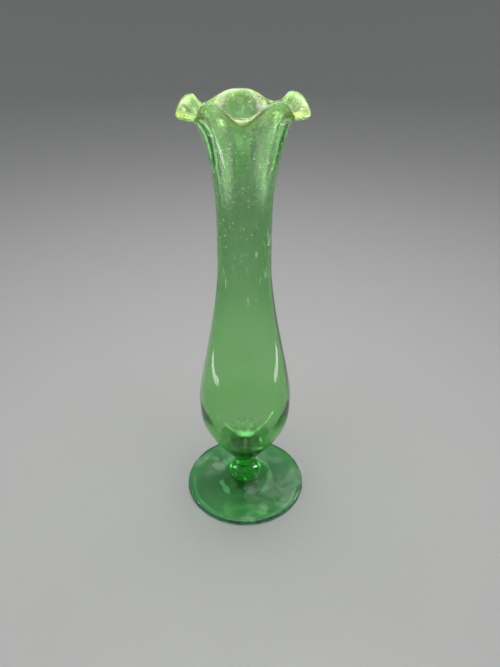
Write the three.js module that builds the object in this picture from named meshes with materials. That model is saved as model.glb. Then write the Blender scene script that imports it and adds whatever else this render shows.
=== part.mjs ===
// Footed glass bud vase with a crimped five-lobe mouth.
// Four gathers of green glass, fused hot end to end: foot, knop, stem and blown body.
// Millimetres, +Z up, origin at the centre of the underside of the foot, front towards -Y.

import * as THREE from 'three';

// ---- driving dimensions ---------------------------------------------------

// Foot: a disc, slightly hollow underneath so that it rests on a flat ring. Its edge is
// rounded, and its top rises slowly towards the knop.
const FOOT_RADIUS = 33.5;
const FOOT_EDGE_HEIGHT = 2.8;
const FOOT_EDGE_ROUND = 1.4;
const FOOT_TOP_RISE = [
  { radius: 24, rise: 0.2 },
  { radius: 15, rise: 0.7 },
  { radius: 10, rise: 1.4 },
];
const FOOT_HOLLOW = 0.9;
const FOOT_HOLLOW_SHOULDER = { radius: 16.2, height: 0.72 };
const REST_RING_INNER = 27;
const REST_RING_OUTER = 31.5;

// Knop: a solid bead squashed between the foot and the stem.
const KNOP_BASE = 5;
const KNOP_TOP = 14.5;
const KNOP_RADIUS = 8.9;
const KNOP_SEAT_RADIUS = 6.2;
const FOOT_SEAT_RADIUS = 6.8;

// Stem: a short waisted collar between the knop and the bulb.
const STEM_TOP = 20.5;
const STEM_END_RADIUS = 6;
const STEM_WAIST_RADIUS = 5.6;

// Body: bulb, neck and throat, as outside radii at their heights.
const BULB_RADIUS = 24.1;
const BULB_HEIGHT = 64.5;
const NECK_RADIUS = 12.5;
const NECK_HEIGHT = 142;
const THROAT_RADIUS = 13.6;
const THROAT_HEIGHT = 178;

// How far each curve of the body's outside runs on from its end before it bends away.
const BULB_START = { out: 18.4, up: 26.2 };
const BULB_FULLNESS = { below: 17, above: 11 };
const NECK_REACH = { below: 26.5, above: 15 };
const THROAT_REACH = { inward: 1.5, below: 11 };

// Wall thicknesses, and the rounded bottom of the cavity.
const BULB_WALL = 2.2;
const NECK_WALL = 2;
const LIP_WALL = 1.8;
const CAVITY_FLOOR = 28;
const CAVITY_FLAT = 13;
const CAVITY_REACH = 18.5;

// Mouth: the middle of the lip passes through these points. Lobes lean out and droop,
// pinches stand up between them. They are shaped by hand, so no two are alike. The lobes
// at the two sides are the widest, and stay down over two points each.
const LIP = [
  { angle: 37, radius: 23.4, height: 211.8, droop: 0 },
  { angle: 50, radius: 25.2, height: 206.2, droop: 1 },
  { angle: 68, radius: 26.8, height: 206.1, droop: 1 },
  { angle: 113, radius: 23.2, height: 211.6, droop: 0 },
  { angle: 149, radius: 27, height: 205.4, droop: 1 },
  { angle: 184, radius: 23.6, height: 211, droop: 0 },
  { angle: 224, radius: 27, height: 205.2, droop: 1 },
  { angle: 250, radius: 24.2, height: 210.8, droop: 0 },
  { angle: 294, radius: 27.6, height: 206, droop: 1 },
  { angle: 313, radius: 25.4, height: 205.8, droop: 1 },
  { angle: 325, radius: 23.8, height: 211.8, droop: 0 },
  { angle: 358, radius: 26.4, height: 206, droop: 1 },
];
const LOBE_SHARPNESS = 1.8;

// How the outside of the wall reaches the lip, on a lobe and on a pinch: the slope at the
// lip, the slope where the lip begins, and how far in and down from the lip that is.
const LOBE = { lean: -38, rise: 42, inset: 6.4, drop: 1.4 };
const PINCH = { lean: 60, rise: 64, inset: 3.2, drop: 6.4 };

// How far the flare's two curves run on from the throat, from the turn and from the lip.
// Between throat and turn the flare bends more on the left (-X) than on the right.
const FLARE_START = { left: { out: 1.4, up: 13 }, right: { out: 0.6, up: 5 } };
const TURN_REACH = { belowLeft: 8, belowRight: 1.5, above: 2.2 };
const LIP_REACH = 2.6;

// Fineness of the faceting.
const BODY_SEGMENTS = 60;
const FOOT_SEGMENTS = 48;
const STEM_SEGMENTS = 36;
const STEPS = {
  bulb: 10, shoulder: 10, neck: 4, wall: 7, lip: 4, edge: 3, cavity: 7,
  stem: 6, knop: 12, footEdge: 2,
};

// ---- curves ---------------------------------------------------------------

const point = (radius, height) => new THREE.Vector2(radius, height);

function direction(degrees) {
  const angle = THREE.MathUtils.degToRad(degrees);
  return point(Math.cos(angle), Math.sin(angle));
}

function bezier(start, startHandle, endHandle, end) {
  return new THREE.CubicBezierCurve(start, startHandle, endHandle, end);
}

function arc(centre, across, up, from, to) {
  return new THREE.EllipseCurve(centre.x, centre.y, across, up, from, to);
}

// Foot of the bulb to its widest, widest to the narrowest of the neck, neck to throat.
const BULB_RISE = bezier(
  point(STEM_END_RADIUS, STEM_TOP),
  point(STEM_END_RADIUS + BULB_START.out, STEM_TOP + BULB_START.up),
  point(BULB_RADIUS, BULB_HEIGHT - BULB_FULLNESS.below),
  point(BULB_RADIUS, BULB_HEIGHT),
);
const SHOULDER = bezier(
  point(BULB_RADIUS, BULB_HEIGHT),
  point(BULB_RADIUS, BULB_HEIGHT + BULB_FULLNESS.above),
  point(NECK_RADIUS, NECK_HEIGHT - NECK_REACH.below),
  point(NECK_RADIUS, NECK_HEIGHT),
);
const NECK = bezier(
  point(NECK_RADIUS, NECK_HEIGHT),
  point(NECK_RADIUS, NECK_HEIGHT + NECK_REACH.above),
  point(THROAT_RADIUS - THROAT_REACH.inward, THROAT_HEIGHT - THROAT_REACH.below),
  point(THROAT_RADIUS, THROAT_HEIGHT),
);
const CAVITY = bezier(
  point(BULB_RADIUS - BULB_WALL, BULB_HEIGHT),
  point(BULB_RADIUS - BULB_WALL, BULB_HEIGHT - CAVITY_REACH),
  point(CAVITY_FLAT, CAVITY_FLOOR),
  point(0, CAVITY_FLOOR),
);

// Share of the way from one point of the lip to the next. Pinches are narrower than lobes.
function shareBetween(before, after, along) {
  const share = (1 - Math.cos(Math.PI * along)) / 2;
  if (after.droop > before.droop) {
    return share ** LOBE_SHARPNESS;
  }
  if (after.droop < before.droop) {
    return 1 - (1 - share) ** LOBE_SHARPNESS;
  }
  return share;
}

// Shape of the lip at an angle round the mouth, counted from the front towards +X.
function lipAt(angle) {
  const turn = THREE.MathUtils.euclideanModulo(THREE.MathUtils.radToDeg(angle), 360);
  const next = Math.max(LIP.findIndex((entry) => entry.angle > turn), 0);
  const after = LIP[next];
  const before = LIP[(next + LIP.length - 1) % LIP.length];
  const span = THREE.MathUtils.euclideanModulo(after.angle - before.angle, 360);
  const along = THREE.MathUtils.euclideanModulo(turn - before.angle, 360) / span;
  const share = shareBetween(before, after, along);
  const between = (key) => THREE.MathUtils.lerp(before[key], after[key], share);
  const drooped = (key) => THREE.MathUtils.lerp(PINCH[key], LOBE[key], between('droop'));
  return {
    middle: point(between('radius'), between('height')),
    lean: direction(drooped('lean')),
    rise: direction(drooped('rise')),
    back: point(drooped('inset'), drooped('drop')),
  };
}

// Outside of the flare, from the throat to the lip, at an angle round the mouth.
function flareAt(angle) {
  const { middle, lean, rise, back } = lipAt(angle);
  const outward = point(lean.y, -lean.x);
  const end = middle.clone().addScaledVector(outward, LIP_WALL / 2);
  const start = point(THROAT_RADIUS, THROAT_HEIGHT);
  const turn = end.clone().sub(back);
  const { left, right } = FLARE_START;
  const fromLeft = (onLeft, onRight) => {
    return THREE.MathUtils.lerp(onLeft, onRight, (1 + Math.sin(angle)) / 2);
  };
  const below = fromLeft(TURN_REACH.belowLeft, TURN_REACH.belowRight);
  const wall = bezier(
    start,
    point(start.x + fromLeft(left.out, right.out), start.y + fromLeft(left.up, right.up)),
    turn.clone().addScaledVector(rise, -below),
    turn,
  );
  const lip = bezier(
    turn,
    turn.clone().addScaledVector(rise, TURN_REACH.above),
    end.clone().addScaledVector(lean, -LIP_REACH),
    end,
  );
  return { wall, lip };
}

// Points evenly spaced along a curve by its parameter, without its last point.
function walk(curve, steps) {
  return Array.from({ length: steps }, (_, i) => curve.getPoint(i / steps));
}

// The same points moved in from the outside by a wall that changes evenly, last point first.
function walkInside(curve, steps, wallStart, wallEnd) {
  return Array.from({ length: steps }, (_, i) => {
    const t = 1 - i / steps;
    const tangent = curve.getTangent(t);
    const wall = THREE.MathUtils.lerp(wallStart, wallEnd, t);
    return curve.getPoint(t).add(point(-tangent.y, tangent.x).multiplyScalar(wall));
  });
}

// Half circle over the lip, from its outside to its inside, without either end.
function lipRound(lip, steps) {
  const tangent = lip.getTangent(1);
  const inward = point(-tangent.y, tangent.x);
  const centre = lip.getPoint(1).addScaledVector(inward, LIP_WALL / 2);
  return Array.from({ length: steps - 1 }, (_, i) => {
    const swing = Math.PI * (i + 1) / steps;
    return centre.clone()
      .addScaledVector(inward, -Math.cos(swing) * LIP_WALL / 2)
      .addScaledVector(tangent, Math.sin(swing) * LIP_WALL / 2);
  });
}

// ---- pieces ---------------------------------------------------------------

// One closed meridian of the body at an angle, from the axis at the joint with the stem,
// up the outside, over the lip, down the inside and back to the axis on the cavity floor.
function bodyMeridian(angle) {
  const { wall, lip } = flareAt(angle);
  return [
    point(0, STEM_TOP),
    ...walk(BULB_RISE, STEPS.bulb),
    ...walk(SHOULDER, STEPS.shoulder),
    ...walk(NECK, STEPS.neck),
    ...walk(wall, STEPS.wall),
    ...walk(lip, STEPS.lip),
    lip.getPoint(1),
    ...lipRound(lip, STEPS.edge),
    ...walkInside(lip, STEPS.lip, LIP_WALL, LIP_WALL),
    ...walkInside(wall, STEPS.wall, NECK_WALL, LIP_WALL),
    ...walkInside(NECK, STEPS.neck, NECK_WALL, NECK_WALL),
    ...walkInside(SHOULDER, STEPS.shoulder, BULB_WALL, NECK_WALL),
    ...walk(CAVITY, STEPS.cavity),
    point(0, CAVITY_FLOOR),
  ];
}

// A lathe turns about Y, so it is stood up on +Z. Its first seam then faces the front.
function turned(profile, segments) {
  return new THREE.LatheGeometry(profile, segments).rotateX(Math.PI / 2);
}

// The body is turned first, and then each meridian is set to its own angle's shape.
function bodyGeometry() {
  const size = bodyMeridian(0).length;
  const geometry = turned(bodyMeridian(0), BODY_SEGMENTS);
  const position = geometry.getAttribute('position');
  for (let i = 0; i <= BODY_SEGMENTS; i += 1) {
    const angle = (i % BODY_SEGMENTS) / BODY_SEGMENTS * 2 * Math.PI;
    bodyMeridian(angle).forEach(({ x: radius, y: height }, j) => {
      const x = radius * Math.sin(angle);
      const y = -radius * Math.cos(angle);
      position.setXYZ(i * size + j, x, y, height);
    });
  }
  geometry.computeVertexNormals();
  return geometry;
}

function stemGeometry() {
  const waist = (KNOP_TOP + STEM_TOP) / 2;
  const side = new THREE.QuadraticBezierCurve(
    point(STEM_END_RADIUS, KNOP_TOP),
    point(2 * STEM_WAIST_RADIUS - STEM_END_RADIUS, waist),
    point(STEM_END_RADIUS, STEM_TOP),
  );
  const profile = [point(0, KNOP_TOP), ...side.getPoints(STEPS.stem), point(0, STEM_TOP)];
  return turned(profile, STEM_SEGMENTS);
}

function knopGeometry() {
  const middle = (KNOP_BASE + KNOP_TOP) / 2;
  const halfHeight = (KNOP_TOP - KNOP_BASE) / 2;
  const seatAngle = Math.acos(KNOP_SEAT_RADIUS / KNOP_RADIUS);
  const side = arc(point(0, middle), KNOP_RADIUS, halfHeight / Math.sin(seatAngle), -seatAngle, seatAngle);
  const profile = [point(0, KNOP_BASE), ...side.getPoints(STEPS.knop), point(0, KNOP_TOP)];
  return turned(profile, STEM_SEGMENTS);
}

function footGeometry() {
  const middle = FOOT_EDGE_HEIGHT / 2;
  const lowerCentre = point(REST_RING_OUTER, middle);
  const upperCentre = point(FOOT_RADIUS - FOOT_EDGE_ROUND, middle);
  const lowerEdge = arc(lowerCentre, FOOT_RADIUS - REST_RING_OUTER, middle, -Math.PI / 2, 0);
  const upperEdge = arc(upperCentre, FOOT_EDGE_ROUND, middle, 0, Math.PI / 2);
  const profile = [
    point(0, FOOT_HOLLOW),
    point(FOOT_HOLLOW_SHOULDER.radius, FOOT_HOLLOW_SHOULDER.height),
    point(REST_RING_INNER, 0),
    ...walk(lowerEdge, STEPS.footEdge),
    ...upperEdge.getPoints(STEPS.footEdge),
    ...FOOT_TOP_RISE.map(({ radius, rise }) => point(radius, FOOT_EDGE_HEIGHT + rise)),
    point(FOOT_SEAT_RADIUS, KNOP_BASE),
    point(0, KNOP_BASE),
  ];
  return turned(profile, FOOT_SEGMENTS);
}

// ---- glass and assembly ---------------------------------------------------

const GLASS_COLOUR = { foot: '#4f9a63', knop: '#0d8a3a', stem: '#12803a', body: '#6fb57a' };
const GLASS_ROUGHNESS = { foot: 0.12, knop: 0.06, stem: 0.06, body: 0.08 };

function greenGlass(part) {
  return new THREE.MeshStandardMaterial({
    color: GLASS_COLOUR[part],
    roughness: GLASS_ROUGHNESS[part],
    metalness: 0,
  });
}

function piece(name, geometry, material) {
  const mesh = new THREE.Mesh(geometry, material);
  mesh.name = name;
  return mesh;
}

const vase = new THREE.Group();
vase.add(
  piece('foot', footGeometry(), greenGlass('foot')),
  piece('knop', knopGeometry(), greenGlass('knop')),
  piece('stem', stemGeometry(), greenGlass('stem')),
  piece('vase_body', bodyGeometry(), greenGlass('body')),
);

export default vase;
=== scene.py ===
"""Looks of a footed glass bud vase.

Four gathers of green glass stand on each other: broad foot, knop, stem, and a blown body with
a crimped lip that was struck yellow-green by the heat.
"""

import math

import bpy
from mathutils import Matrix, Vector


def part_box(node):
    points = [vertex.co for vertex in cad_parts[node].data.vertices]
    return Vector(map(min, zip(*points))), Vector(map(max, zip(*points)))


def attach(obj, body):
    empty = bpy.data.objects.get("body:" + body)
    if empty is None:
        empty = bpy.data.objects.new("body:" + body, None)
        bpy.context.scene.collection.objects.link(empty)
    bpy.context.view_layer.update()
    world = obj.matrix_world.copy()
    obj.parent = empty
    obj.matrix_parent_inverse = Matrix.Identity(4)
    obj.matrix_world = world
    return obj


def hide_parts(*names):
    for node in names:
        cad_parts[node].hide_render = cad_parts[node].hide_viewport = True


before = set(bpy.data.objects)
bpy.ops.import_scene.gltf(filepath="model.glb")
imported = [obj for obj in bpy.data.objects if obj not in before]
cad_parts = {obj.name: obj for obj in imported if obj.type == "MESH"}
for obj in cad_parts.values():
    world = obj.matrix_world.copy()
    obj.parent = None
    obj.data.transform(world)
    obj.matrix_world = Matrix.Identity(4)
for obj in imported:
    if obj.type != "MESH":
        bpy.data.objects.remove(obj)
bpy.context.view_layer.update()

MM = 0.001
FUSE = 0.03  # how far each gather runs into the next one, so that the glass is unbroken


# ---------------------------------------------------------------- sizes, in millimetres


def span(node):
    """Radius, lowest and highest height of a node."""
    low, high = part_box(node)
    return (high.x - low.x) / 2 / MM, low.z / MM, high.z / MM


FOOT_RADIUS, FOOT_BASE, FOOT_TOP = span("foot")
KNOP_RADIUS, KNOP_BASE, KNOP_TOP = span("knop")
STEM_RADIUS, STEM_BASE, STEM_TOP = span("stem")
BODY_BASE = span("vase_body")[1]

# The foot's meridian: its hollow underside, its rounded edge and the slow rise to the knop.
FOOT_UNDER = [(0, 0.9), (9, 0.85), (16.2, 0.72), (22, 0.45), (27, 0)]
REST_RING = [(27, 0), (29.3, 0)]
FOOT_EDGE = [(31.5, 0), (32.9, 0.42), (FOOT_RADIUS, 1.4), (33.0, 2.38), (32.1, 2.8)]
FOOT_RISE = [(24, 3.0), (15, 3.5), (10, 4.2), (6.8, FOOT_TOP)]
KNOP_SEAT_RADIUS = 6.2
STEM_WAIST_RADIUS = 5.6

# The body: outer radii and heights of its meridian.
BULB_RADIUS = 24.1
BULB_HEIGHT = 64.5
NECK_RADIUS = 12.5
NECK_HEIGHT = 142
THROAT_RADIUS = 13.6
THROAT_HEIGHT = 178

# The bottom face stops this far short of the stem's radius.
BASE_EASE = 0.1

# How far each curve of the body runs on from its end before it bends away.
BULB_START = (18.4, 26.2)  # out and up from the stem
BULB_FULLNESS = (17, 11)  # below and above its widest
NECK_REACH = (26.5, 15)  # below and above its narrowest
THROAT_REACH = (1.5, 11)  # inward and below

# Walls, and the rounded bottom of the cavity.
BULB_WALL = 2.2
NECK_WALL = 2.0
LIP_WALL = 1.8
CAVITY_FLOOR = 28
CAVITY_FLAT = 13
CAVITY_REACH = 18.5  # how far down its wall runs on before it bends in

# The middle of the lip from the front (-Y) towards +X: angle in degrees, radius, height, and
# whether it droops there as a lobe or is pinched up. The lobes at the two sides are widest.
LIP = (
    (37, 23.4, 211.8, False),
    (50, 25.2, 206.2, True),
    (68, 26.8, 206.1, True),
    (113, 23.2, 211.6, False),
    (149, 27.0, 205.4, True),
    (184, 23.6, 211.0, False),
    (224, 27.0, 205.2, True),
    (250, 24.2, 210.8, False),
    (294, 27.6, 206.0, True),
    (313, 25.4, 205.8, True),
    (325, 23.8, 211.8, False),
    (358, 26.4, 206.0, True),
)
LOBE_SHARPNESS = 1.8

# Lean and rise of the edge in degrees, then how far in and down from it the flare turns over.
LOBE_TURN = (-38, 42, 6.4, 1.4)
PINCH_TURN = (60, 64, 3.2, 6.4)

# How the flare leaves the throat (out and up), and how far below its turn it keeps the rise
# of the edge, on the side towards -X and then towards +X.
FLARE_START = (Vector((1.4, 13)), Vector((0.6, 5)))
WALL_REACH = (8, 1.5)
TURN_REACH = 2.2  # how far above its turn the flare keeps that rise
LIP_REACH = 2.6  # how far below its edge it keeps the lean

# Fine crimp marks round the lip, and the slow unevenness of hand-blown glass.
TEETH = 160
TOOTH_DEPTH = 0.10
TOOTH_REACH = 7
INNER_TOOTH_SHARE = 0.7  # they are this much as deep on the inner face
WOBBLE_DEPTH = 0.12
STILL_RADIUS = (STEM_RADIUS + 1, 1)  # no unevenness within this, outside and inside
WOBBLE_EASE = (12, 8)  # it grows over this much height outside and this much radius inside
WOBBLE_PHASE = (0.4, 2.2)

EDGE_REACH = (11, 8)  # how far the lip's heat-struck colour goes, outside and inside
FOLD_BASE = 162  # the pinched folds keep the same colour down to here
FOLD_FULL = 186
SHARES = ("edge", "lobe", "fold", "inner")  # what the body's vertices tell its material

# Fineness of the meshes.
BODY_SEGMENTS = TEETH * 4
SOLID_SEGMENTS = 144
FOOT_SEGMENTS = 240
BULB_STEPS = 18
SHOULDER_STEPS = 20
INNER_SHOULDER_STEPS = 18
NECK_STEPS = 7
WALL_STEPS = 15
LIP_STEPS = 9
EDGE_STEPS = 7
CAVITY_STEPS = 14
STEM_STEPS = 20
KNOP_STEPS = 28
UNDER_STEPS = 4
TOP_STEPS = 5


# ---------------------------------------------------------------- curves of (radius, height)


def lerp(a, b, t):
    return a + (b - a) * t


def bezier(*handles):
    """A function from 0..1 to the point and the tangent of a cubic or quadratic curve."""
    handles = [Vector(h) for h in handles]

    def at(t):
        points = handles
        while len(points) > 2:
            points = [lerp(p, q, t) for p, q in zip(points, points[1:])]
        return lerp(points[0], points[1], t), (points[1] - points[0]).normalized()

    return at


def direction(degrees):
    return Vector((math.cos(math.radians(degrees)), math.sin(math.radians(degrees))))


BULB_RISE = bezier(
    (STEM_RADIUS, BODY_BASE),
    (STEM_RADIUS + BULB_START[0], BODY_BASE + BULB_START[1]),
    (BULB_RADIUS, BULB_HEIGHT - BULB_FULLNESS[0]),
    (BULB_RADIUS, BULB_HEIGHT),
)
SHOULDER = bezier(
    (BULB_RADIUS, BULB_HEIGHT),
    (BULB_RADIUS, BULB_HEIGHT + BULB_FULLNESS[1]),
    (NECK_RADIUS, NECK_HEIGHT - NECK_REACH[0]),
    (NECK_RADIUS, NECK_HEIGHT),
)
NECK = bezier(
    (NECK_RADIUS, NECK_HEIGHT),
    (NECK_RADIUS, NECK_HEIGHT + NECK_REACH[1]),
    (THROAT_RADIUS - THROAT_REACH[0], THROAT_HEIGHT - THROAT_REACH[1]),
    (THROAT_RADIUS, THROAT_HEIGHT),
)
CAVITY = bezier(
    (BULB_RADIUS - BULB_WALL, BULB_HEIGHT),
    (BULB_RADIUS - BULB_WALL, BULB_HEIGHT - CAVITY_REACH),
    (CAVITY_FLAT, CAVITY_FLOOR),
    (0, CAVITY_FLOOR),
)


def lip_at(degrees):
    """Middle of the lip, lean, rise, setback and droop (0 pinched up, 1 a lobe) at an angle."""
    after = next((i for i, stop in enumerate(LIP) if stop[0] > degrees), 0)
    before, following = LIP[after - 1], LIP[after]
    share = ((degrees - before[0]) % 360) / ((following[0] - before[0]) % 360)
    share = (1 - math.cos(math.pi * share)) / 2
    if following[3] and not before[3]:
        share **= LOBE_SHARPNESS
    if before[3] and not following[3]:
        share = 1 - (1 - share) ** LOBE_SHARPNESS
    radius, height, droop = (lerp(before[k], following[k], share) for k in (1, 2, 3))
    turn = [lerp(p, q, droop) for p, q in zip(PINCH_TURN, LOBE_TURN)]
    middle = Vector((radius, height))
    return middle, direction(turn[0]), direction(turn[1]), Vector(turn[2:]), droop


def flare_at(degrees):
    """The two curves of the flare's outer face, from the throat to the turn and to the lip."""
    middle, lean, rise, back, _ = lip_at(degrees)
    end = middle + Vector((lean.y, -lean.x)) * LIP_WALL / 2
    start = Vector((THROAT_RADIUS, THROAT_HEIGHT))
    turn = end - back
    side = (1 + math.sin(math.radians(degrees))) / 2
    leaving = start + lerp(*FLARE_START, side)
    wall = bezier(start, leaving, turn - lerp(*WALL_REACH, side) * rise, turn)
    lip = bezier(turn, turn + TURN_REACH * rise, end - LIP_REACH * lean, end)
    return wall, lip


def outside(curve, steps):
    """Points along a curve, without its last one."""
    return [curve(i / steps)[0] for i in range(steps)]


def inside(curve, steps, wall_start, wall_end):
    """The curve's inner side, walked backwards, without its last point."""
    points = []
    for i in range(steps):
        t = 1 - i / steps
        point, tangent = curve(t)
        wall = lerp(wall_start, wall_end, t)
        points.append(point + Vector((-tangent.y, tangent.x)) * wall)
    return points


def lip_round(curve, steps):
    """The half round that joins the two faces at the lip, without its two ends."""
    end, tangent = curve(1)
    inward = Vector((-tangent.y, tangent.x))
    centre = end + inward * LIP_WALL / 2
    points = []
    for i in range(1, steps):
        a = math.pi * i / steps
        points.append(centre + (tangent * math.sin(a) - inward * math.cos(a)) * LIP_WALL / 2)
    return points


def body_meridian(degrees):
    """Outer face of the body from the axis up and over the lip, and its inner face back."""
    wall, lip = flare_at(degrees)
    base = BODY_BASE - FUSE
    outer = [Vector((0, base)), Vector((STEM_RADIUS - BASE_EASE, base))]
    outer += outside(BULB_RISE, BULB_STEPS)
    outer += outside(SHOULDER, SHOULDER_STEPS)
    outer += outside(NECK, NECK_STEPS)
    outer += outside(wall, WALL_STEPS)
    outer += outside(lip, LIP_STEPS)
    outer.append(lip(1)[0])
    outer += lip_round(lip, EDGE_STEPS)
    inner = inside(lip, LIP_STEPS, LIP_WALL, LIP_WALL)
    inner += inside(wall, WALL_STEPS, NECK_WALL, LIP_WALL)
    inner += inside(NECK, NECK_STEPS, NECK_WALL, NECK_WALL)
    inner += inside(SHOULDER, INNER_SHOULDER_STEPS, BULB_WALL, NECK_WALL)
    inner += outside(CAVITY, CAVITY_STEPS)
    inner.append(Vector((0, CAVITY_FLOOR)))
    return outer, inner


def smooth_profile(corners, steps):
    """Catmull-Rom curve through the corners."""
    points = [Vector(c) for c in corners]
    line = []
    for i in range(len(points) - 1):
        p0 = points[max(i - 1, 0)]
        p1, p2 = points[i], points[i + 1]
        p3 = points[min(i + 2, len(points) - 1)]
        for k in range(steps):
            t = k / steps
            bend = (p2 - p0) * t + (2 * p0 - 5 * p1 + 4 * p2 - p3) * t**2
            line.append(0.5 * (2 * p1 + bend + (3 * p1 - p0 - 3 * p2 + p3) * t**3))
    line.append(points[-1])
    return line


# ---------------------------------------------------------------- meshes


def linked(name, mesh):
    """A new object in the scene with this mesh, shaded smooth."""
    mesh.polygons.foreach_set("use_smooth", [True] * len(mesh.polygons))
    thing = bpy.data.objects.new(name, mesh)
    bpy.context.collection.objects.link(thing)
    return thing


def turned(name, rings):
    """A closed mesh from rings of (x, y, z) in millimetres; its first and last are one point."""
    vertices, faces = [rings[0][0]], []
    size = len(rings[1])
    for ring in rings[1:-1]:
        vertices += ring
    vertices.append(rings[-1][0])
    last = len(vertices) - 1
    top = last - size
    for j in range(size):
        k = (j + 1) % size
        faces.append((0, 1 + k, 1 + j))
        for a in range(1, top, size):
            b = a + size
            faces.append((a + j, a + k, b + k, b + j))
        faces.append((top + j, top + k, last))
    mesh = bpy.data.meshes.new(name)
    mesh.from_pydata([Vector(v) * MM for v in vertices], [], faces)
    mesh.validate()
    mesh.update()
    return linked(name, mesh)


def placed(radius, height, angle):
    """The point at an angle in radians from the front (-Y) towards +X."""
    return (radius * math.sin(angle), -radius * math.cos(angle), height)


def solid(name, profile, segments=SOLID_SEGMENTS):
    """A turned solid from its meridian, from the axis below to the axis above."""
    angles = [2 * math.pi * j / segments for j in range(segments)]
    return turned(name, [[placed(*point, angle) for angle in angles] for point in profile])


def capped(side):
    """A solid's meridian from its side, with flat ends."""
    return [(0, side[0][1]), *side, (0, side[-1][1])]


def wobble(angle, height, phase):
    """Slow unevenness of hand-blown glass, as a share."""
    return (
        0.5 * math.sin(2 * angle + height / 31 + phase)
        + 0.3 * math.sin(3 * angle - height / 19 + 2 * phase)
        + 0.2 * math.sin(5 * angle + height / 13 - phase)
    )


def worked(point, angle, edge, is_inner):
    """A point of the meridian made uneven, with the crimp marks close to the lip."""
    radius, height = point
    grown = radius if is_inner else abs(height - BODY_BASE)
    if radius > STILL_RADIUS[is_inner]:
        ease = min(1, grown / WOBBLE_EASE[is_inner])
        radius += WOBBLE_DEPTH * ease * wobble(angle, height, WOBBLE_PHASE[is_inner])
    tooth = TOOTH_DEPTH * math.cos(TEETH * angle)
    near = max(0, 1 - (point - edge).length / TOOTH_REACH)
    radius += tooth * near**2 * (INNER_TOOTH_SHARE if is_inner else 1)
    height += tooth * near**3
    return placed(radius, height, angle)


def paint(thing, name, columns):
    """Stores a share for every vertex of a turned mesh, given column by column."""
    shares = [columns[0][0]]
    for i in range(1, len(columns[0]) - 1):
        shares += [column[i] for column in columns]
    shares.append(columns[0][-1])
    thing.data.attributes.new(name, "FLOAT", "POINT").data.foreach_set("value", shares)


def shares_at(point, edge, lobe, is_inner):
    """How much a point is near the edge, on a lobe, on a pinched fold and on the inner face."""
    near = max(0, 1 - (point - edge).length / EDGE_REACH[is_inner])
    rise = min(1, max(0, (point.y - FOLD_BASE) / (FOLD_FULL - FOLD_BASE)))
    return near, lobe, (1 - lobe) ** 2 * rise, float(is_inner)


def make_body():
    columns, share_columns = [], []
    for j in range(BODY_SEGMENTS):
        angle = 2 * math.pi * j / BODY_SEGMENTS
        outer, inner = body_meridian(math.degrees(angle))
        edge, *_, lobe = lip_at(math.degrees(angle))
        faces = [(point, False) for point in outer] + [(point, True) for point in inner]
        columns.append([worked(point, angle, edge, is_inner) for point, is_inner in faces])
        share_columns.append([shares_at(point, edge, lobe, is_inner) for point, is_inner in faces])
    body = turned("body_glass", list(zip(*columns)))
    for k, name in enumerate(SHARES):
        paint(body, name, [[shares[k] for shares in column] for column in share_columns])
    return body


def make_stem():
    waist = bezier(
        (STEM_RADIUS, STEM_BASE - FUSE),
        (2 * STEM_WAIST_RADIUS - STEM_RADIUS, (STEM_BASE + STEM_TOP) / 2),
        (STEM_RADIUS, STEM_TOP + FUSE),
    )
    return solid("stem_glass", capped(outside(waist, STEM_STEPS) + [waist(1)[0]]))


def make_knop():
    middle = (KNOP_BASE + KNOP_TOP) / 2
    half = (KNOP_TOP - KNOP_BASE) / 2 + FUSE
    end = math.acos(KNOP_SEAT_RADIUS / KNOP_RADIUS)
    side = []
    for i in range(KNOP_STEPS + 1):
        a = lerp(-end, end, i / KNOP_STEPS)
        side.append((KNOP_RADIUS * math.cos(a), middle + half * math.sin(a) / math.sin(end)))
    return solid("knop_glass", capped(side))


def make_foot():
    profile = smooth_profile(FOOT_UNDER, UNDER_STEPS)[:-1] + [Vector(p) for p in REST_RING]
    profile += smooth_profile(FOOT_EDGE + FOOT_RISE, TOP_STEPS)
    profile = [(max(p.x, 0), max(p.y, FOOT_BASE)) for p in profile]
    return solid("foot_glass", [*profile, (0, FOOT_TOP)], FOOT_SEGMENTS)


# ---------------------------------------------------------------- materials


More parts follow.
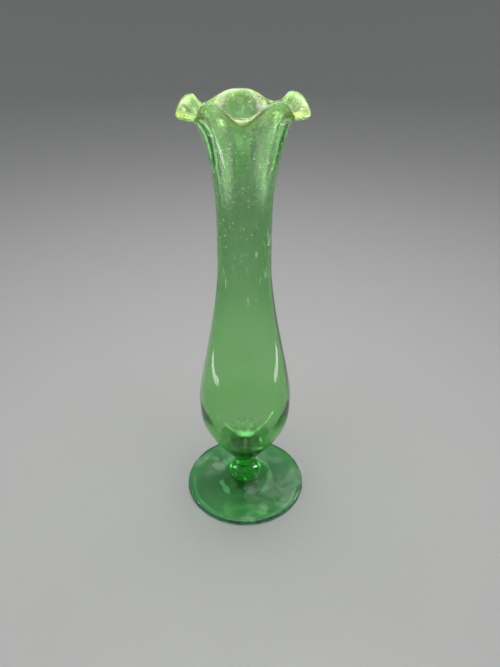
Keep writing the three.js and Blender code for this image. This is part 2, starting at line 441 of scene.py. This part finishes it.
class Nodes:
    """A material's node tree with short calls; its where is the place on the object."""

    def __init__(self, name):
        self.material = bpy.data.materials.new(name)
        self.material.use_nodes = True
        self.tree = self.material.node_tree
        self.tree.nodes.clear()
        self.where = self.add("TexCoord").outputs["Object"]

    def plug(self, socket, value):
        if isinstance(value, bpy.types.NodeSocket):
            self.tree.links.new(value, socket)
        else:
            socket.default_value = value

    def add(self, kind, settings=None, **inputs):
        node = self.tree.nodes.new("ShaderNode" + kind)
        for key, value in (settings or {}).items():
            setattr(node, key, value)
        for key, value in inputs.items():
            self.plug(node.inputs[key.replace("_", " ")], value)
        return node

    def math(self, operation, *values):
        node = self.add("Math", {"operation": operation})
        for socket, value in zip(node.inputs, values):
            self.plug(socket, value)
        return node.outputs[0]

    def product(self, first, *others):
        for other in others:
            first = self.math("MULTIPLY", first, other)
        return first

    def total(self, first, *others):
        for other in others:
            first = self.math("ADD", first, other)
        return first

    def ramp(self, value, low, high, to_low=0.0, to_high=1.0):
        """Smooth change from to_low to to_high while the value goes from low to high."""
        return self.add(
            "MapRange",
            {"interpolation_type": "SMOOTHSTEP"},
            Value=value,
            From_Min=low,
            From_Max=high,
            To_Min=to_low,
            To_Max=to_high,
        ).outputs[0]

    def band(self, value, start, full, fading, end):
        """1 from full to fading, and 0 below start and above end."""
        return self.product(self.ramp(value, start, full), self.ramp(value, end, fading))

    def noise(self, scale, detail=2.0, roughness=0.5, where=None):
        """Noise over the object, or over a stretched copy of its places."""
        where = where or self.where
        node = self.add("TexNoise", Vector=where, Scale=scale, Detail=detail, Roughness=roughness)
        return node.outputs[0]

    def patches(
        self, scale, detail, roughness=0.5, low=0.3, high=0.7, least=0.0, most=1.0, where=None
    ):
        """Noise made into patches: least where it is under low, most where it is over high."""
        return self.ramp(self.noise(scale, detail, roughness, where), low, high, least, most)

    def blend(self, factor, *colours):
        node = self.add("Mix", {"data_type": "RGBA"}, Factor=factor)
        for socket, colour in zip((node.inputs[6], node.inputs[7]), colours):
            self.plug(socket, (*colour, 1.0) if isinstance(colour, tuple) else colour)
        return node.outputs[2]

    def stretched(self, x, y, z):
        return self.add("Mapping", Vector=self.where, Scale=(x, y, z)).outputs[0]

    def along(self, axis):
        """The place along X, Y or Z in metres."""
        return self.add("SeparateXYZ", Vector=self.where).outputs["XYZ".index(axis)]

    def share(self, name):
        """A share stored on the body's vertices."""
        return self.add("Attribute", {"attribute_name": name}).outputs["Fac"]

    def finish(self, surface, volume=None):
        out = self.add("OutputMaterial", Surface=surface.outputs[0])
        if volume:
            self.plug(out.inputs["Volume"], volume.outputs[0])
        return self.material


# Absorption of each gather's glass per metre: red, green, blue.
BODY_ABSORPTION = (190.0, 52.0, 216.0)
SOLID_ABSORPTION = (400.0, 14.0, 380.0)
FOOT_ABSORPTION = (225.0, 52.0, 195.0)

GLASS_IOR = 1.5
POLISHED = 0.01  # roughness of clean glass, and how much more its smears have
SMEARED = 0.05
BUMP_STRENGTH = 0.35
BUMP_DISTANCE = 0.0004
FINE_BUMP_SHARE = 0.03

# Tints of the body.
CLEAR = (0.93, 1.0, 0.90)
NECK_GREEN = (0.76, 0.89, 0.75)
FOLD_GREEN = (0.62, 1.0, 0.48)
LOBE_YELLOW = (0.66, 0.84, 0.24)
BASE_GREEN = (0.20, 0.60, 0.27)

# Tints of the solid glass and the foot, deepest and palest, and of the foot's edge, where a deeper
# green is painted as a glow in place of the light seen through its thick rim.
SOLID_GREENS = ((0.10, 1.0, 0.16), (0.20, 1.0, 0.26))
FILM_GREENS = ((0.84, 0.98, 0.88), (0.94, 1.0, 0.94))
# Painted glow: the foot's edge is tinted this deeper green to stand in for the light seen through
# its thick rim.
FOOT_EDGE_GLOW_GREEN = (0.14, 0.62, 0.32)

FLOOR_GREY = (0.44, 0.44, 0.43, 1.0)

# The largest milky share of each thing.
SKIRT_MILK = 0.30
WIDE_BORDER_MILK = 0.30
NARROW_BORDER_MILK = 0.4
FOLD_MILK = 0.30
RESIDUE_MILK = 0.6
VEIL_MILK = 0.34
DOT_MILK = 0.6
GRAIN_MILK = 0.16
DRIP_MILK = 0.26
MOST_MILK = 0.9
HAZE_MILK = 0.11
# Painted glow: this milky share on the foot's edge catches the lights in place of the green light
# seen through its thick rim.
FOOT_EDGE_GLOW_MILK = 0.16

# How much rougher the marks of water and the smears on the foot are.
WATER_ROUGHNESS = 0.22
FOOT_ROUGHNESS = 0.16

# Heights in metres where each thing starts and is full; the first three then fade and end.
DEEP_NECK = (0.100, 0.135, 0.165, 0.195)
DRIP_ZONE = (0.118, 0.130, 0.150, 0.172)
WATER_ZONE = (0.090, 0.130, 0.170, 0.200)
BASE_DEPTH = (0.029, 0.0225)
INNER_DEPTH = 0.004  # the cavity's floor counts as this much deeper
RESIDUE_HEIGHT = (0.042, 0.031)
VEIL_HEIGHT = (0.18, 0.205)
DOT_HEIGHT = (0.13, 0.17)
GRAIN_HEIGHT = (0.15, 0.18)

# How far back the residue starts and is full, and the radius where the foot's edge does.
RESIDUE_FAR_SIDE = (0.001, 0.008)
FOOT_EDGE_START = (0.0320, 0.0332)


def glass(name, absorption, tint, opal, film=None):
    """Clear glass that absorbs light inside, with a milky share (opal) and a rougher film."""
    n = Nodes(name)
    ripple = n.noise(1.0, where=n.stretched(60, 60, 30))
    fine = n.noise(700.0, 3.0)
    bump = n.add(
        "Bump",
        Strength=BUMP_STRENGTH,
        Distance=BUMP_DISTANCE,
        Height=n.total(ripple, n.product(fine, FINE_BUMP_SHARE)),
    )
    smear = n.patches(90.0, 4.0, 0.6, low=0.45, high=0.75)
    rough = n.total(n.product(smear, SMEARED), POLISHED)
    if film:
        rough = n.total(rough, film(n))
    shader = n.add(
        "BsdfPrincipled",
        Base_Color=tint(n),
        Roughness=rough,
        IOR=GLASS_IOR,
        Transmission_Weight=n.math("SUBTRACT", 1.0, opal(n)),
        Normal=bump.outputs[0],
    )
    strongest = max(absorption)
    colour = [1 - a / strongest for a in absorption]
    return n.finish(shader, n.add("VolumeAbsorption", Color=(*colour, 1.0), Density=strongest))


def body_tint(n):
    """Heat-struck lobes and folds, paler glass between, deeper green in the neck and base."""
    blotch = n.patches(55.0, 2.0, least=0.75)
    lobe = n.product(
        n.ramp(n.share("edge"), 0.02, 0.45),
        n.ramp(n.share("lobe"), 0.05, 0.6, 0.4),
        blotch,
    )
    folds = n.product(n.ramp(n.share("fold"), 0.1, 0.9), blotch)
    height = n.along("Z")
    upper = n.blend(n.band(height, *DEEP_NECK), CLEAR, NECK_GREEN)
    upper = n.blend(folds, upper, FOLD_GREEN)
    upper = n.blend(lobe, upper, LOBE_YELLOW)
    depth = n.math("SUBTRACT", height, n.product(n.share("inner"), INNER_DEPTH))
    return n.blend(n.ramp(depth, *BASE_DEPTH), upper, BASE_GREEN)


def lip_milk(n, inner, outer):
    """Milky lobes outside, and a milky border inside that is wider on the lobes."""
    edge, lobe = n.share("edge"), n.share("lobe")
    cloud = n.patches(120.0, 3.0, least=0.6)
    skirt = n.product(n.ramp(edge, 0.05, 0.7, 0.0, SKIRT_MILK), outer, lobe)
    wide = n.product(n.ramp(edge, 0.35, 0.75, 0.0, WIDE_BORDER_MILK), lobe)
    narrow = n.ramp(edge, 0.6, 0.95, 0.0, NARROW_BORDER_MILK)
    border = n.product(n.math("MAXIMUM", wide, narrow), inner)
    return n.product(n.total(skirt, border), cloud)


def fold_milk(n):
    """Milky streaks down the pinched folds."""
    streak = n.patches(1.0, 3.0, 0.6, least=0.5, where=n.stretched(350, 350, 40))
    return n.product(n.ramp(n.share("fold"), 0.1, 0.9, 0.0, FOLD_MILK), streak)


def residue(n, height, inner):
    """Dried residue in patches on the far side of the cavity's bottom."""
    patch = n.patches(420.0, 5.0, 0.7, low=0.35, high=0.65, least=0.15)
    far_side = n.ramp(n.along("Y"), *RESIDUE_FAR_SIDE)
    return n.product(n.ramp(height, *RESIDUE_HEIGHT), far_side, patch, inner, RESIDUE_MILK)


def veil(n, height, inner):
    """Thin dried film inside the mouth."""
    film = n.patches(1.0, 4.0, 0.7, low=0.4, most=VEIL_MILK, where=n.stretched(200, 200, 60))
    return n.product(film, n.ramp(height, *VEIL_HEIGHT), inner)


def specks(n, height, outer):
    """Seeds and grain in the upper glass, and short dried drips on the outside of the neck."""
    cell = n.add("TexVoronoi", {"feature": "F1"}, Vector=n.where, Scale=480.0, Randomness=1.0)
    dots = n.product(n.ramp(cell.outputs["Distance"], 0.20, 0.12), n.ramp(height, *DOT_HEIGHT))
    thinned = n.product(dots, n.patches(160.0, 2.0, low=0.38, high=0.6, most=DOT_MILK))
    grain = n.patches(1300.0, 2.0, 0.6, low=0.5, most=GRAIN_MILK)
    grain = n.product(grain, n.ramp(height, *GRAIN_HEIGHT))
    where = n.stretched(380, 380, 120)
    runs = n.patches(1.0, 5.0, 0.75, low=0.57, high=0.67, most=DRIP_MILK, where=where)
    drips = n.product(runs, n.band(height, *DRIP_ZONE), outer)
    return n.math("MAXIMUM", n.math("MAXIMUM", thinned, grain), drips)


def body_opal(n):
    """Milky share of the body's glass."""
    inner, height = n.share("inner"), n.along("Z")
    outer = n.math("SUBTRACT", 1.0, inner)
    milk = n.total(
        lip_milk(n, inner, outer),
        fold_milk(n),
        residue(n, height, inner),
        veil(n, height, inner),
        specks(n, height, outer),
    )
    return n.math("MINIMUM", milk, MOST_MILK)


def water_film(n):
    """Dried water marks down the inside of the neck."""
    streaks = n.patches(1.0, 4.0, 0.65, low=0.5, high=0.72, where=n.stretched(420, 420, 36))
    return n.product(n.share("inner"), streaks, n.band(n.along("Z"), *WATER_ZONE), WATER_ROUGHNESS)


def solid_tint(n):
    """Deep green of the stem and knop, a little uneven."""
    return n.blend(n.patches(150.0, 2.0), *SOLID_GREENS)


def solid_opal(n):
    """Light scattered by fine seeds in the solid glass."""
    return n.patches(400.0, 3.0, least=0.03, most=0.10)


def foot_edge(n):
    """0 on the disc, 1 on its rounded edge."""
    radius = n.add("VectorMath", {"operation": "LENGTH"}, Vector=n.stretched(1, 1, 0))
    return n.ramp(radius.outputs["Value"], *FOOT_EDGE_START)


def foot_tint(n):
    """Pale green of the film on the foot, a little uneven, and on its edge a deeper green painted
    glow in place of the light seen through the thick rim.
    """
    film = n.blend(n.patches(90.0, 3.0), *FILM_GREENS)
    return n.blend(foot_edge(n), film, FOOT_EDGE_GLOW_GREEN)


def foot_opal(n):
    """Faint haze in patches on the foot, and a milky share on its edge that catches the lights as
    a painted glow in place of the light seen through the thick rim.
    """
    broad = n.patches(55.0, 3.0, 0.6, low=0.48, high=0.68)
    grain = n.patches(420.0, 4.0, 0.7, low=0.35, high=0.65, least=0.3)
    haze = n.product(broad, grain, HAZE_MILK)
    return n.total(haze, n.product(foot_edge(n), grain, FOOT_EDGE_GLOW_MILK))


def foot_film(n):
    """Smears on the foot."""
    return n.product(n.patches(75.0, 4.0, 0.6, low=0.5), FOOT_ROUGHNESS)


def floor_material():
    n = Nodes("studio_floor")
    rough = n.patches(30.0, 3.0, least=0.5, most=0.6)
    return n.finish(n.add("BsdfPrincipled", Base_Color=FLOOR_GREY, Roughness=rough))


# ---------------------------------------------------------------- pieces

body = make_body()
stem = make_stem()
knop = make_knop()
foot = make_foot()

body_glass = glass("blown_green_glass", BODY_ABSORPTION, body_tint, body_opal, water_film)
stem_glass = glass("stem_green_glass", SOLID_ABSORPTION, solid_tint, solid_opal)
knop_glass = glass("knop_green_glass", SOLID_ABSORPTION, solid_tint, solid_opal)
foot_glass = glass("foot_green_glass", FOOT_ABSORPTION, foot_tint, foot_opal, foot_film)

for piece, node, slot, material in (
    (body, "vase_body", "blown_glass", body_glass),
    (stem, "stem", "solid_glass", stem_glass),
    (knop, "knop", "solid_glass", knop_glass),
    (foot, "foot", "foot_glass", foot_glass),
):
    piece.data.materials.append(material)
    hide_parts(node)
    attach(piece, "root")


# ---------------------------------------------------------------- stage, in metres

FLOOR_LEVEL = -0.00005  # just below the foot, so that the two faces don't fight
FLOOR_RINGS = (0, 0.4, 0.9, 1.6)  # of its flat part
SWEEP_RADIUS = 0.9
SWEEP_STEPS = 12
WALL_TOP = 1.8
FLOOR_SEGMENTS = 96


def make_floor():
    """A pale round floor that sweeps up into a wall far from the vase."""
    flat = FLOOR_RINGS[-1]
    profile = [(radius, 0) for radius in FLOOR_RINGS]
    for i in range(1, SWEEP_STEPS + 1):
        a = math.pi / 2 * i / SWEEP_STEPS
        profile.append((flat + SWEEP_RADIUS * math.sin(a), SWEEP_RADIUS * (1 - math.cos(a))))
    profile.append((flat + SWEEP_RADIUS, WALL_TOP))
    vertices, faces = [(0, 0, FLOOR_LEVEL)], []
    for radius, height in profile[1:]:
        for j in range(FLOOR_SEGMENTS):
            a = 2 * math.pi * j / FLOOR_SEGMENTS
            vertices.append((radius * math.cos(a), radius * math.sin(a), height + FLOOR_LEVEL))
    for j in range(FLOOR_SEGMENTS):
        k = (j + 1) % FLOOR_SEGMENTS
        faces.append((0, 1 + j, 1 + k))
        for i in range(len(profile) - 2):
            a = 1 + i * FLOOR_SEGMENTS
            b = a + FLOOR_SEGMENTS
            faces.append((a + j, b + j, b + k, a + k))
    mesh = bpy.data.meshes.new("floor")
    mesh.from_pydata(vertices, [], faces)
    mesh.materials.append(floor_material())
    return linked("floor", mesh)


def add_light(name, place, aim, size, power, spread=180, mirrored=True, refracted=True):
    """A soft rectangular light, and whether the glass shows it by reflection and refraction."""
    lamp = bpy.data.lights.new(name, "AREA")
    lamp.shape = "RECTANGLE"
    lamp.spread = math.radians(spread)
    lamp.size, lamp.size_y = size
    lamp.energy = power
    thing = bpy.data.objects.new(name, lamp)
    thing.visible_camera = False
    thing.visible_glossy = mirrored
    thing.visible_transmission = refracted
    thing.location = place
    thing.rotation_euler = (Vector(aim) - Vector(place)).to_track_quat("-Z", "Y").to_euler()
    bpy.context.collection.objects.link(thing)
    return thing


def light_only(name, lamps, things):
    """Lets the lamps light nothing but these things."""
    lit = bpy.data.collections.new(name)
    for thing in things:
        lit.objects.link(thing)
    for lamp in lamps:
        lamp.light_linking.receiver_collection = lit


floor = make_floor()

# The main light, and three small ones that the glass shows as highlights.
add_light("overhead", (0, 0.03, 0.62), (0, 0.03, 0), (0.45, 0.45), 2.8)
add_light(
    "left_card", (-0.252, -0.014, 0.004), (-0.252, -0.014, 1), (0.03, 0.17), 0.075, refracted=False
)
add_light(
    "right_card", (0.249, 0.024, 0.004), (0.249, 0.024, 1), (0.03, 0.13), 0.055, refracted=False
)
add_light("back_panel", (0, 0.53, 0.47), (0, 0, 0), (0.08, 0.10), 0.12)

# This lights only the floor, so that it stays pale far from the vase.
wash = add_light("wash", (0, 0, 1.7), (0, 0, 0), (3.2, 3.2), 14, mirrored=False, refracted=False)
light_only("floor_only", [wash], [floor])

# These light only the glass, so that the floor stays even.
NECK_AIM = (0, 0, 0.15)
BULB_AIM = (0, 0, 0.12)
PANEL_SIZE = (0.26, 0.28)
STRIP_SIZE = (0.04, 0.40)
SIDE_SPREAD = 80
glass_lights = [
    add_light(
        "left_panel", (-0.58, 0.10, 0.46), NECK_AIM, PANEL_SIZE, 0.6, SIDE_SPREAD, refracted=False
    ),
    add_light(
        "right_panel", (0.58, 0.14, 0.46), NECK_AIM, PANEL_SIZE, 0.6, SIDE_SPREAD, refracted=False
    ),
    add_light("left_strip", (-0.52, 0.14, 0.28), BULB_AIM, STRIP_SIZE, 0.35, SIDE_SPREAD),
    add_light("right_strip", (0.52, 0.18, 0.28), BULB_AIM, STRIP_SIZE, 0.35, SIDE_SPREAD),
    add_light(
        "fill", (0, -0.50, 0.14), (0, 0, 0.16), (0.6, 0.3), 2.0, mirrored=False, refracted=False
    ),
    add_light(
        "mouth_spot",
        (0, 0, 0.60),
        (0, 0, 0),
        (0.012, 0.012),
        0.22,
        spread=3,
        mirrored=False,
        refracted=False,
    ),
]
light_only("glass", glass_lights, [body, stem, knop, foot])

WORLD_COLOUR = (0.9, 0.95, 1.0, 1.0)
WORLD_STRENGTH = 0.25
world = bpy.data.worlds.new("studio")
world.use_nodes = True
background = world.node_tree.nodes["Background"]
background.inputs["Color"].default_value = WORLD_COLOUR
background.inputs["Strength"].default_value = WORLD_STRENGTH
bpy.context.scene.world = world


# ---------------------------------------------------------------- camera

CAMERA_PLACE = Vector((0, -0.2407, 0.2455))
CAMERA_PITCH = 0.5394
CAMERA_YAW = 0.0108
CAMERA_ROLL = 0.0018
CAMERA_LENS = 30.22
CAMERA_NEAR = 0.01

camera = bpy.data.objects.new("camera", bpy.data.cameras.new("camera"))
camera.data.lens = CAMERA_LENS
camera.data.clip_start = CAMERA_NEAR
ahead = Vector((
    math.sin(CAMERA_YAW) * math.cos(CAMERA_PITCH),
    math.cos(CAMERA_YAW) * math.cos(CAMERA_PITCH),
    -math.sin(CAMERA_PITCH),
))
right = Vector((math.cos(CAMERA_YAW), -math.sin(CAMERA_YAW), 0))
up = right.cross(ahead)
rolled_right = right * math.cos(CAMERA_ROLL) + up * math.sin(CAMERA_ROLL)
rolled_up = up * math.cos(CAMERA_ROLL) - right * math.sin(CAMERA_ROLL)
basis = Matrix((rolled_right, rolled_up, -ahead)).transposed().to_4x4()
camera.matrix_world = Matrix.Translation(CAMERA_PLACE) @ basis
bpy.context.collection.objects.link(camera)

# Light crosses many faces of glass on its way to the camera.
GLASS_BOUNCES = 24
GLOSSY_BOUNCES = 12

scene = bpy.context.scene
scene.camera = camera
scene.view_settings.view_transform = "Standard"
scene.cycles.max_bounces = GLASS_BOUNCES
scene.cycles.transmission_bounces = GLASS_BOUNCES
scene.cycles.glossy_bounces = GLOSSY_BOUNCES
